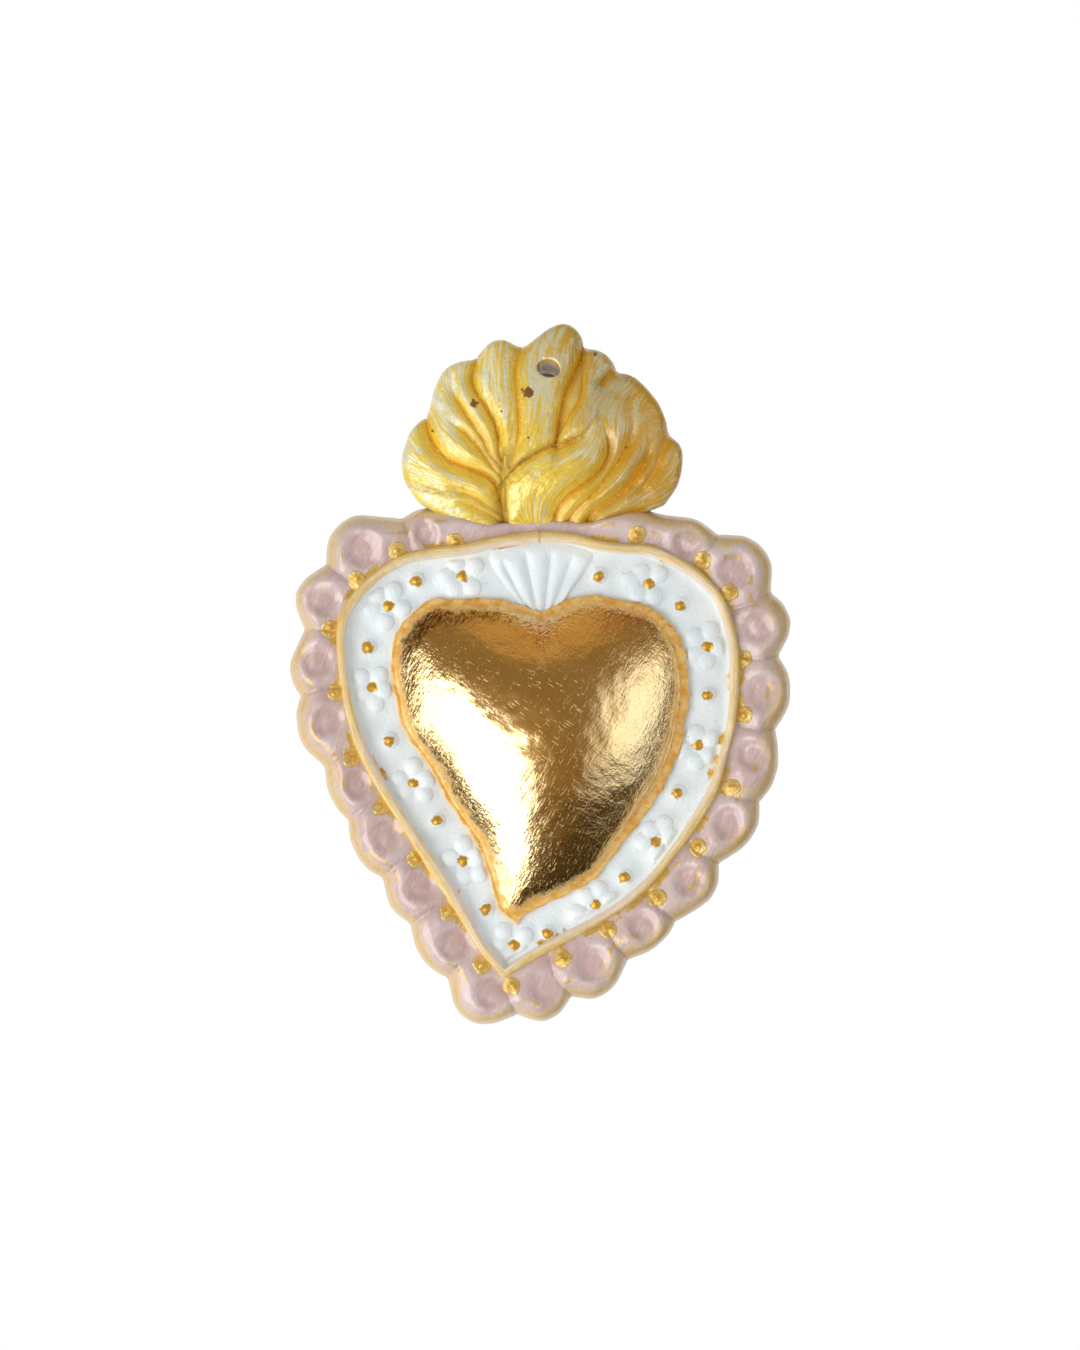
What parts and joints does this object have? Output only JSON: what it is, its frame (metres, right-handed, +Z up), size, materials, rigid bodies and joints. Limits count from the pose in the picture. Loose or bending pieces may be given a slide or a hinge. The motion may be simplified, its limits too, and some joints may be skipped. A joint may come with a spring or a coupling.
{
  "type": "sacred heart wall ornament",
  "caption": "Ceramic sacred heart for the wall: a gilt puffed heart on a flowered white field, in a scalloped border, under a crown of flames with a hanging hole.",
  "frame": {"origin": "back mouth of the hanging hole, on the wall plane", "axes": "+Z up, +X to the viewer's right, the front faces -Y and the wall plane is y = 0"},
  "size_m": [0.1432, 0.027, 0.1994],
  "materials": {
    "gold_leaf": "gold leaf, burnished",
    "gold_paint": "brushed gold paint, satin",
    "white_glaze": "white paint, satin",
    "pink_glaze": "dusty pink paint, satin",
    "flame_paint": "gold dry-brushed over off-white, satin",
    "bare_clay": "unglazed fired clay, matte"
  },
  "bodies": {
    "root": {"back_slab": "bare_clay", "inner_field": "white_glaze", "scalloped_border": "pink_glaze", "rim_band": "gold_paint", "heart_boss": "gold_leaf", "shell_fan": "white_glaze", "flame_crown": "flame_paint", "flower_01": "white_glaze", "flower_02": "white_glaze", "flower_03": "white_glaze", "flower_04": "white_glaze", "flower_05": "white_glaze", "flower_06": "white_glaze", "flower_07": "white_glaze", "flower_08": "white_glaze", "flower_09": "white_glaze", "flower_10": "white_glaze", "flower_11": "white_glaze", "pearl_01": "white_glaze", "pearl_02": "white_glaze", "pearl_03": "white_glaze", "pearl_04": "white_glaze", "pearl_05": "white_glaze", "pearl_06": "white_glaze", "pearl_07": "white_glaze", "pearl_08": "white_glaze", "pearl_09": "white_glaze", "pearl_10": "white_glaze", "pearl_11": "white_glaze", "stud_01": "gold_paint", "stud_02": "gold_paint", "stud_03": "gold_paint", "stud_04": "gold_paint", "stud_05": "gold_paint", "stud_06": "gold_paint", "stud_07": "gold_paint", "stud_08": "gold_paint", "stud_09": "gold_paint", "stud_10": "gold_paint", "stud_11": "gold_paint", "stud_12": "gold_paint", "stud_13": "gold_paint", "stud_14": "gold_paint", "stud_15": "gold_paint", "stud_16": "gold_paint", "stud_17": "gold_paint", "stud_18": "gold_paint", "stud_19": "gold_paint", "stud_20": "gold_paint", "stud_21": "gold_paint"}
  },
  "joints": []
}
